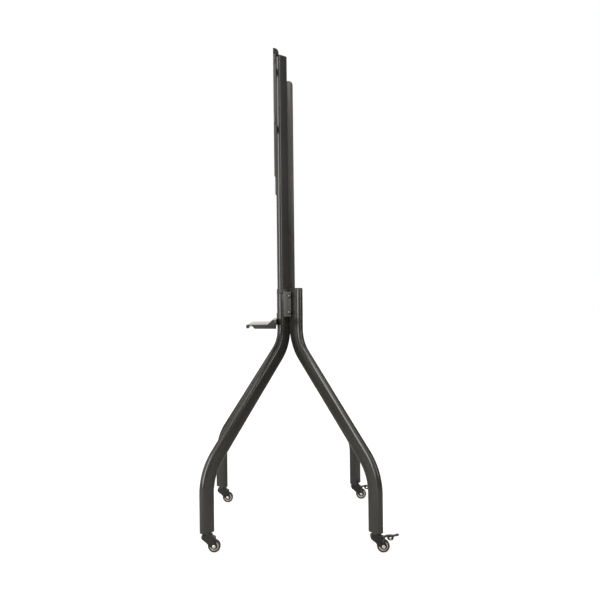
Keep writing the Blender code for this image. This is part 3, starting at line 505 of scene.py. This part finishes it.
for letter, side in SIDES:
    front = (FRONT_TOP, FRONT_U, FRONT_V, side)
    rear = (REAR_TOP, REAR_U, REAR_V, side)
    leg(f"front_leg_{letter}", front, FRONT_LEG_TOP_Z)
    leg(f"rear_leg_{letter}", rear, REAR_LEG_TOP_Z)
    mast(f"mast_tube_{letter}", front)
    mast_cap(f"mast_cap_{letter}", front)
    refined(f"mast_collar_{letter}", "cap_plastic", 0.35 * MM)
    refined(f"rear_leg_cap_{letter}", "cap_plastic", 0.5 * MM)
    for kind in ("front", "rear"):
        refined(f"foot_plug_{kind}_{letter}", "cap_plastic", 0.5 * MM)


# Hub, cover, bracket and tray

# The painted shade on the arms starts this far above the upper rail
EAR_OVER_RAIL = 3.5 * MM
EAR_FROM_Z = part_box("rail_upper")[1][2] + EAR_OVER_RAIL


def paint_ear_shade(arm):
    """Paint shade on the part of an arm above the upper rail, as a darker, duller coat."""
    bm = bmesh.new()
    bm.from_mesh(arm.data)
    whole = bm.verts[:] + bm.edges[:] + bm.faces[:]
    bmesh.ops.bisect_plane(bm, geom=whole, plane_co=(0, 0, EAR_FROM_Z), plane_no=(0, 0, 1))
    for face in bm.faces:
        if face.calc_center_median().z > EAR_FROM_Z:
            face.material_index = 1
    bm.to_mesh(arm.data)
    bm.free()
    arm.data.materials.append(FINISH["ear_coat"])


for letter, side in SIDES:
    refined(f"hub_plate_{letter}", "hub_casting", 0.7 * MM, segments=3)
    refined(f"tray_wedge_{letter}", "bracket_powder_coat", 0.8 * MM)
    paint_ear_shade(refined(f"arm_{letter}", "bracket_powder_coat", 0.45 * MM))
refined("hub_core", "hub_casting", 1.2 * MM)
refined("cable_cover", "cover_sheet_coat", 0.35 * MM)
for level in LEVELS:
    refined(f"mast_tie_{level}", "cover_sheet_coat", 0.8 * MM)
    refined(f"rail_{level}", "bracket_powder_coat", 0.5 * MM, look="rail_coat")
refined("carriage", "bracket_powder_coat", 0.5 * MM)
refined("tray", "tray_powder_coat", 0.6 * MM, segments=3)


# Screws and welds

# Radius and height of the head, radius of the socket's corners, radius of the shank
HUB_BOLT = (7 * MM, 4.35 * MM, 2.6 * MM, 4 * MM)
RAIL_SCREW = (4.75 * MM, 1.4 * MM, 1.7 * MM, 2.5 * MM)
TRAY_SCREW = (3.8 * MM, 2 * MM, 1.4 * MM, 2 * MM)
# The head's dome from rim to socket, as shares of its radius and height
BUTTON_DOME = ((1.0, 0.0), (1.0, 0.12), (0.97, 0.3), (0.88, 0.55), (0.74, 0.78), (0.6, 0.92))
SOCKET_FLOOR = 0.35
HUB_FACE_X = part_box("hub_plate_R")[1][0] + SEAT
HUB_BOLT_END_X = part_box("hub_bolt_lower_R")[0][0]
TRAY_SCREW_AT = {"inner": 46 * MM, "outer": 60 * MM}
TRAY_SCREW_SHANK = 6 * MM
TRAY_STRIP_FRONT_Y = -66.18 * MM
TRAY_STRIP_MIDDLE_Z = 716 * MM
WELD_R = 1.5 * MM
WELD_OUT = 0.9 * MM
WELD_BACK = 0.1 * MM
WELD_FROM_END = 1 * MM
WELD_STEP = 0.5 * MM
RIPPLE_PITCH = 2.2 * MM
RIPPLE_SHARE = 0.12
LEAST_SWELL_SQUARED = 0.02


def hexagon(turn):
    """The distance of a hexagon's side from its middle at an angle, its corners' being 1."""
    from_side = (turn + math.pi / 6) % (math.pi / 3) - math.pi / 6
    return math.cos(math.pi / 6) / math.cos(from_side)


def button_screw(at, axis, size, shank, count=24):
    """Button-head screw with a hexagon socket. The axis points out of the head."""
    radius, height, socket, shank_radius = size
    axis = Vector(axis)
    across = axis.orthogonal().normalized()
    over = axis.cross(across)

    def place(a, b, run):
        return at + axis * run + across * a + over * b

    profile = [(shank_radius, -shank), (shank_radius, 0)]
    profile += [(radius * a, height * b) for a, b in BUTTON_DOME]
    recess = ((socket, height), (socket, height * SOCKET_FLOOR))
    bm = bmesh.new()
    skin(bm, turned_rings(profile, count, place) + turned_rings(recess, count, place, hexagon))
    return bm


def hub_bolt(name, side):
    """Bolt through a hub plate, with its head on the plate's outer face."""
    middle = box_of(name)[2]
    head = Vector((side * HUB_FACE_X, middle.y, middle.z))
    shank = HUB_FACE_X - HUB_BOLT_END_X
    bm = button_screw(head, (side, 0, 0), HUB_BOLT, shank, count=32)
    dressed(name, bm, "bolt_steel", sharp=35)


def rail_screw(name):
    """Screw through a rail into the carriage."""
    low, high, middle = box_of(name)
    head_height = RAIL_SCREW[1]
    face = low.y + head_height
    bm = button_screw(Vector((middle.x, face, middle.z)), (0, -1, 0), RAIL_SCREW, high.y - face)
    dressed(name, bm, "bolt_steel", sharp=35)


def tray_screw(name, x):
    """Screw through the tray's rear strip into a wedge."""
    at = Vector((x, TRAY_STRIP_FRONT_Y, TRAY_STRIP_MIDDLE_Z))
    bm = button_screw(at, (0, -1, 0), TRAY_SCREW, TRAY_SCREW_SHANK)
    finish_piece(name, bm, "bolt_steel", BODY_OF["tray"], sharp=35)


def mast_weld(name, tie, side):
    """Weld seam between a tie's end and a mast: rounded ends, and the ripples of its passes."""
    low, high = box_of(tie)[:2]
    foot = Vector((side * (high.x + WELD_OUT), low.y + WELD_BACK, low.z + WELD_FROM_END))
    length = high.z - low.z - 2 * WELD_FROM_END
    steps = round(length / WELD_STEP)
    profile = []
    for k in range(steps + 1):
        height = length * k / steps
        from_end = min(height, length - height) / WELD_R
        swell = math.sqrt(max(1 - (1 - min(from_end, 1)) ** 2, LEAST_SWELL_SQUARED))
        ripple = 1 - RIPPLE_SHARE * abs(math.sin(math.pi * height / RIPPLE_PITCH))
        profile.append((WELD_R * swell * ripple, height))
    bm = bmesh.new()
    skin(bm, turned_rings(profile, count=12, place=along_z(foot)))
    finish_piece(name, bm, "mast_powder_coat", BODY_OF[tie])


for letter, side in SIDES:
    for level in LEVELS:
        hub_bolt(f"hub_bolt_{level}_{letter}", side)
        rail_screw(f"rail_screw_{level}_{letter}")
        mast_weld(f"mast_weld_{level}_{letter}", f"mast_tie_{level}", side)
    for column, x in TRAY_SCREW_AT.items():
        tray_screw(f"tray_screw_{column}_{letter}", side * x)


# Casters

# Outlines in mm seen from the side: the distance behind the stem, and the height
FORK = (
    (-7.5, 57.8), (-13.0, 57.0), (-16.2, 54.4), (-17.4, 50.6), (-17.2, 46.2), (-15.2, 42.2),
    (-10.4, 38.0), (-5.6, 34.2), (-1.4, 30.2), (2.4, 26.0), (6.0, 22.0), (10.2, 18.6),
    (14.2, 14.4), (17.6, 11.6), (21.6, 10.3), (26.0, 10.7), (30.0, 13.0), (32.6, 16.6),
    (33.2, 20.6), (32.2, 25.0), (30.0, 29.4), (28.4, 33.6), (27.6, 38.0), (27.4, 44.8),
    (26.0, 48.0), (23.0, 49.4), (19.8, 50.2), (18.0, 52.2), (17.4, 55.0), (15.4, 57.4),
    (10.0, 57.8),
)
PEDAL = (
    (19.6, 47.6), (22.5, 49.3), (27, 49.4), (31, 51.0), (35, 52.2), (44, 52.7), (52, 52.3),
    (57.5, 52.0), (62, 53.2), (67, 55.3), (71.1, 54.7), (71.9, 53.2), (70.4, 51.3), (67, 50.6),
    (60, 49.2), (54, 48.4), (44, 48.5), (36, 48.3), (30.5, 46.9), (27.5, 44.6), (25.0, 42.7),
    (21.6, 42.2), (19.2, 44.0),
)
PEDAL_WEB = (
    (34.4, 50.4), (34.8, 44), (36.6, 40.4), (40.4, 37.9), (46, 36.9), (51, 38.1), (53.8, 41.2),
    (54.7, 46), (53.5, 50.4),
)
# Turned profiles in mm: the radius, and the height or the distance from the wheel's middle
STEM = (
    (0.5, 96), (5.5, 96), (5.5, 61.2), (10.6, 61.2), (11, 60.8), (11, 57.6), (10.4, 57.2), (10.4, 55)
)
AXLE_HEAD = (
    (0.8, 15.2), (1.4, 14.9), (2.8, 14.9), (3.0, 15.3), (4.6, 15.1), (5.3, 14.6), (5.6, 13.8),
    (5.5, 13.3), (2.9, 13.0),
)
CORE_FACE = (
    (3.1, 9.0), (5.6, 9.0), (6.0, 8.6), (6.2, 6.6), (7.0, 6.1), (9.2, 6.1), (10.2, 6.8),
    (10.8, 7.6), (11.4, 7.9), (13.2, 7.9), (13.9, 7.4),
)
TREAD = (
    (14.35, 7.2), (14.6, 7.8), (15.4, 8.6), (16.6, 8.95), (17.8, 8.9), (18.8, 8.3), (19.5, 7.2),
    (19.85, 5.4), (19.97, 3.2), (20.0, 1.2), (19.75, 0.9), (19.75, 0.3),
)
FORK_HALF = 13 * MM
FORK_EDGE = 2.4 * MM
WELL_R = 22.4 * MM
WELL_HALF = 9.6 * MM
PEDAL_HALF = 7.5 * MM
PEDAL_EDGE = 1.1 * MM
PEDAL_ROOM = (Vector((-8.1, 17.1, 36.6)) * MM, Vector((8.1, 60, 57.6)) * MM)
WEB_HALF = 1.1 * MM
WEB_EDGE = 0.5 * MM
WEB_FROM_SIDE = 1.5 * MM
WEB_HOLE_R = 4.2 * MM
WEB_HOLE_AT = Vector((0, 45.4 * MM, 43.4 * MM))
PIN_R = 1.8 * MM
PIN_AT = Vector((0, TRAIL, 45.6 * MM))
BORE_HALF = 30 * MM


def smoothed(points, per=4):
    """A closed outline through points in mm on a smooth curve, in metres."""
    out = []
    count = len(points)
    for k in range(count):
        p0, p1, p2, p3 = (Vector(points[(k + d) % count]) for d in (-1, 0, 1, 2))
        for step in range(per):
            t = step / per
            point = 0.5 * (
                2 * p1 + (p2 - p0) * t + (2 * p0 - 5 * p1 + 4 * p2 - p3) * t * t
                + (3 * p1 - p0 - 3 * p2 + p3) * t * t * t
            )
            out.append(point * MM)
    return out


def inward(points, amount):
    """The outline moved inwards, for rounded edges."""
    after = points[1:] + points[:1]
    before = points[-1:] + points[:-1]
    area = sum(p.x * q.y - q.x * p.y for p, q in zip(points, after))
    turn = 1 if area > 0 else -1
    moved = []
    for point, previous, following in zip(points, before, after):
        along = (following - previous).normalized()
        moved.append(point + Vector((-along.y, along.x)) * amount * turn)
    return moved


def rounded_slab(outline, half, edge, centre, steps=4):
    """An outline in YZ given thickness along X, with rounded rims."""
    quarter = [math.pi / 2 * k / steps for k in range(steps + 1)]
    rings = []
    for sign, angles in ((-1, quarter), (1, quarter[::-1])):
        for angle in angles:
            inset = edge * (1 - math.sin(angle))
            x = sign * (half - edge + edge * math.cos(angle))
            rings.append([centre + Vector((x, p.x, p.y)) for p in inward(outline, inset)])
    bm = bmesh.new()
    skin(bm, rings)
    return bm


def mirrored(profile):
    """A wheel's profile in metres from the half of it on one side, in mm."""
    near = [(r * MM, x * MM) for r, x in profile]
    far = [(r * MM, -x * MM) for r, x in profile[::-1]]
    return near + far


def cylinder_tool(centre, radius, half, count=32):
    """A cylinder along X to cut with."""
    bm = bmesh.new()
    skin(bm, turned_rings(((radius, -half), (radius, half)), count, along_x(centre)))
    return bm


def box_tool(low, high):
    """A box to cut with."""
    bm = bmesh.new()
    for v in bmesh.ops.create_cube(bm, size=1)["verts"]:
        for axis in range(3):
            v.co[axis] = low[axis] if v.co[axis] < 0 else high[axis]
    return bm


def cut_with(obj, bm):
    """Cut a closed shape from a piece, with the result kept in the piece's mesh."""
    mesh = bpy.data.meshes.new("tool")
    bmesh.ops.recalc_face_normals(bm, faces=bm.faces)
    bm.to_mesh(mesh)
    bm.free()
    tool = bpy.data.objects.new("tool", mesh)
    bpy.context.scene.collection.objects.link(tool)
    change = obj.modifiers.new("cut", "BOOLEAN")
    change.operation = "DIFFERENCE"
    change.solver = "EXACT"
    change.object = tool
    bpy.context.view_layer.update()
    made = bpy.data.meshes.new_from_object(
        obj.evaluated_get(bpy.context.evaluated_depsgraph_get())
    )
    obj.modifiers.clear()
    old = obj.data
    obj.data = made
    bpy.data.meshes.remove(old)
    bpy.data.objects.remove(tool)
    bpy.data.meshes.remove(mesh)


def pedal(name, at):
    """Brake pedal: a wavy moulded lever with a looped web under each edge."""
    bm = rounded_slab(smoothed(PEDAL), PEDAL_HALF, PEDAL_EDGE, at)
    lever = dressed(name, bm, "pedal_plastic", sharp=40)
    cut_with(lever, cylinder_tool(at + PIN_AT, PIN_R + SEAT, BORE_HALF))
    loop = smoothed(PEDAL_WEB)
    for number, side in enumerate((-1, 1)):
        middle = at + Vector((side * (PEDAL_HALF - WEB_FROM_SIDE), 0, 0))
        bm = rounded_slab(loop, WEB_HALF, WEB_EDGE, middle, steps=3)
        web = finish_piece(f"{name}_web_{number}", bm, "pedal_plastic", BODY_OF[name], sharp=40)
        cut_with(web, cylinder_tool(at + WEB_HOLE_AT, WEB_HOLE_R, BORE_HALF))


def fork(name, at, hub, braked):
    """Swept fork with the wheel's well, and with the pedal's room and bores if it is braked."""
    bm = rounded_slab(smoothed(FORK), FORK_HALF, FORK_EDGE, at)
    made = dressed(name, bm, "caster_plastic", sharp=40)
    cut_with(made, cylinder_tool(hub, WELL_R, WELL_HALF, count=64))
    if braked:
        low, high = PEDAL_ROOM
        cut_with(made, box_tool(at + low, at + high))
        cut_with(made, cylinder_tool(at + PIN_AT, PIN_R + SEAT, BORE_HALF))


def stem(name, at, body):
    """Stem and swivel collar, in steel."""
    bm = bmesh.new()
    profile = [(r * MM, z * MM) for r, z in STEM]
    skin(bm, turned_rings(profile, count=40, place=along_z(at)))
    finish_piece(name, bm, "bolt_steel", body)


def axle(name, hub):
    """A pin with a shallow domed head on each side and a ring turned in it."""
    bm = bmesh.new()
    skin(bm, turned_rings(mirrored(AXLE_HEAD), count=32, place=along_x(hub)))
    dressed(name, bm, "bright_steel", sharp=35)


def wheel_part(name, hub, face, slot, count, sharp):
    """A ring round the wheel's axle: the core with its boss, web and rim, or the tyre."""
    bm = bmesh.new()
    skin(bm, turned_rings(mirrored(face), count, along_x(hub)), loop=True)
    dressed(name, bm, slot, sharp=sharp)


def caster(tag, side, foot, braked):
    """One swivel caster under a leg's foot."""
    at = Vector((side * foot.x, foot.y, 0))
    hub = at + Vector((0, TRAIL, WHEEL_R))
    fork(f"caster_fork_{tag}", at, hub, braked)
    if braked:
        pedal(f"brake_pedal_{tag}", at)
    stem(f"caster_stem_{tag}", at, BODY_OF[f"caster_fork_{tag}"])
    axle(f"caster_axle_{tag}", hub)
    wheel_part(f"wheel_core_{tag}", hub, CORE_FACE, "wheel_core_plastic", count=64, sharp=30)
    wheel_part(f"wheel_tyre_{tag}", hub, TREAD, "tyre_rubber", count=72, sharp=60)


for letter, side in SIDES:
    caster(f"front_{letter}", side, FRONT_FOOT, braked=False)
    caster(f"rear_{letter}", side, REAR_FOOT, braked=True)
    refined(f"pedal_pin_rear_{letter}", "bolt_steel", 0.3 * MM)


# Stage: floor, light and camera

WARM_WHITE = (1.0, 0.975, 0.93)
FLOOR_HALF = 400.0
FLOOR_Z = -0.6 * MM
# The floor's glow for the camera, at the cart and further out, and where it changes, in metres
FLOOR_GLOW = (0.62, 1.0)
FLOOR_GLOW_REACH = (0.8, 2.6)

# The photograph's frame and camera, in pixels, metres and radians
IMAGE_SIZE = 600
FOCAL_PIXELS = 737.24
IMAGE_CENTRE = (290.35, 301.45)
CAMERA_SPOT = Vector((2.6245, -0.04674, 0.77005))
ROLL = -0.0112
YAW = 0.0121
PITCH = 0.0065
SENSOR = 36


def stage_floor():
    """White paper without an end: a faint contact shadow near the cart, plain white further out."""
    mesh = bpy.data.meshes.new("floor")
    corners = [(sx * FLOOR_HALF, sy * FLOOR_HALF) for sx, sy in ((-1, -1), (1, -1), (1, 1), (-1, 1))]
    mesh.from_pydata([(x, y, FLOOR_Z) for x, y in corners], [], [(0, 1, 2, 3)])
    floor = bpy.data.objects.new("floor", mesh)
    bpy.context.scene.collection.objects.link(floor)
    made, tree, shader = shader_of("floor_paper")
    set_inputs(
        tree, shader, Base_Color=(0.5, 0.5, 0.5, 1), Roughness=0.8, Specular_IOR_Level=0.1
    )
    coords = tree.nodes.new("ShaderNodeTexCoord").outputs["Object"]
    away = tree.nodes.new("ShaderNodeVectorMath")
    away.operation = "LENGTH"
    tree.links.new(coords, away.inputs[0])
    strength = span(tree, away.outputs["Value"], *FLOOR_GLOW, *FLOOR_GLOW_REACH)
    glow = node(tree, "ShaderNodeEmission", Color=(1, 1, 1, 1), Strength=strength)
    both = tree.nodes.new("ShaderNodeAddShader")
    tree.links.new(shader.outputs[0], both.inputs[0])
    tree.links.new(glow.outputs[0], both.inputs[1])
    to_camera = tree.nodes.new("ShaderNodeLightPath").outputs["Is Camera Ray"]
    seen = mix_shader(tree, to_camera, shader.outputs[0], both.outputs[0])
    set_inputs(tree, tree.nodes["Material Output"], Surface=seen)
    mesh.materials.append(made)
    floor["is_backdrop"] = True


def softbox(name, bearing, distance, height, size, radiance, aim_z=0.9):
    """A panel of light round the cart. The bearing is in degrees from +X towards +Y."""
    light = bpy.data.lights.new(name, "AREA")
    light.shape = "RECTANGLE"
    light.size, light.size_y = size
    light.color = WARM_WHITE
    light.energy = radiance * math.pi * size[0] * size[1]
    obj = bpy.data.objects.new(name, light)
    bpy.context.scene.collection.objects.link(obj)
    turn = math.radians(bearing)
    obj.location = (distance * math.cos(turn), distance * math.sin(turn), height)
    aim = Vector((0, 0, aim_z)) - obj.location
    obj.rotation_euler = aim.to_track_quat("-Z", "Y").to_euler()
    obj.visible_camera = False


def world_light(ambient, in_gloss):
    """One grey that lights the cart, another that its gloss shows, and white for the camera."""
    world = bpy.data.worlds.new("studio")
    bpy.context.scene.world = world
    world.use_nodes = True
    tree = world.node_tree
    tree.nodes.clear()
    path = tree.nodes.new("ShaderNodeLightPath")
    soft, gloss, white = (
        node(tree, "ShaderNodeBackground", Color=(level, level, level, 1)).outputs[0]
        for level in (ambient, in_gloss, 1)
    )
    lit = mix_shader(tree, path.outputs["Is Glossy Ray"], soft, gloss)
    seen = mix_shader(tree, path.outputs["Is Camera Ray"], lit, white)
    node(tree, "ShaderNodeOutputWorld", Surface=seen)


def photo_camera():
    """The photograph's own view: from the right-hand side, 2.6 m away, almost level."""
    forward = Vector(
        (-math.cos(YAW) * math.cos(PITCH), math.sin(YAW) * math.cos(PITCH), math.sin(PITCH))
    )
    right = forward.cross(Vector((0, 0, 1))).normalized()
    up = right.cross(forward)
    turned_right = right * math.cos(ROLL) + up * math.sin(ROLL)
    turned_up = up * math.cos(ROLL) - right * math.sin(ROLL)
    data = bpy.data.cameras.new("photo_camera")
    data.sensor_width = SENSOR
    data.lens = FOCAL_PIXELS / IMAGE_SIZE * SENSOR
    data.shift_x = (IMAGE_SIZE / 2 - IMAGE_CENTRE[0]) / IMAGE_SIZE
    data.shift_y = (IMAGE_CENTRE[1] - IMAGE_SIZE / 2) / IMAGE_SIZE
    data.clip_end = 60
    camera = bpy.data.objects.new("photo_camera", data)
    bpy.context.scene.collection.objects.link(camera)
    turn = Matrix((turned_right, turned_up, -forward)).transposed().to_4x4()
    camera.matrix_world = Matrix.Translation(CAMERA_SPOT) @ turn
    bpy.context.scene.camera = camera


stage_floor()
softbox("strip_side", 6, distance=3.3, height=2.15, size=(0.7, 2.1), radiance=2.1, aim_z=2.0)
softbox("key_front", -39, distance=2.4, height=1.45, size=(1.5, 2.4), radiance=7.6, aim_z=1.3)
softbox("strip_rear", 63, distance=2.6, height=1.7, size=(0.5, 1.9), radiance=8.5, aim_z=1.4)
softbox("fill_front", -96, distance=2.7, height=1.4, size=(1.2, 2.4), radiance=1.0, aim_z=1.2)
softbox("top_front", -5, distance=1.5, height=3.0, size=(1.7, 0.9), radiance=4.0, aim_z=0.6)
softbox("ceiling", 0, distance=0.05, height=3.7, size=(7.0, 7.0), radiance=0.7)
softbox("backdrop", 180, distance=4.2, height=1.2, size=(5.0, 3.6), radiance=0.72, aim_z=1.0)
world_light(ambient=0.25, in_gloss=0.2)
photo_camera()
bpy.context.scene.view_settings.view_transform = "Standard"

boxes = {"cad": CAD_BOX, "visual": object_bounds()}
{k: [[float(c) for c in corner] for corner in v] for k, v in boxes.items()}
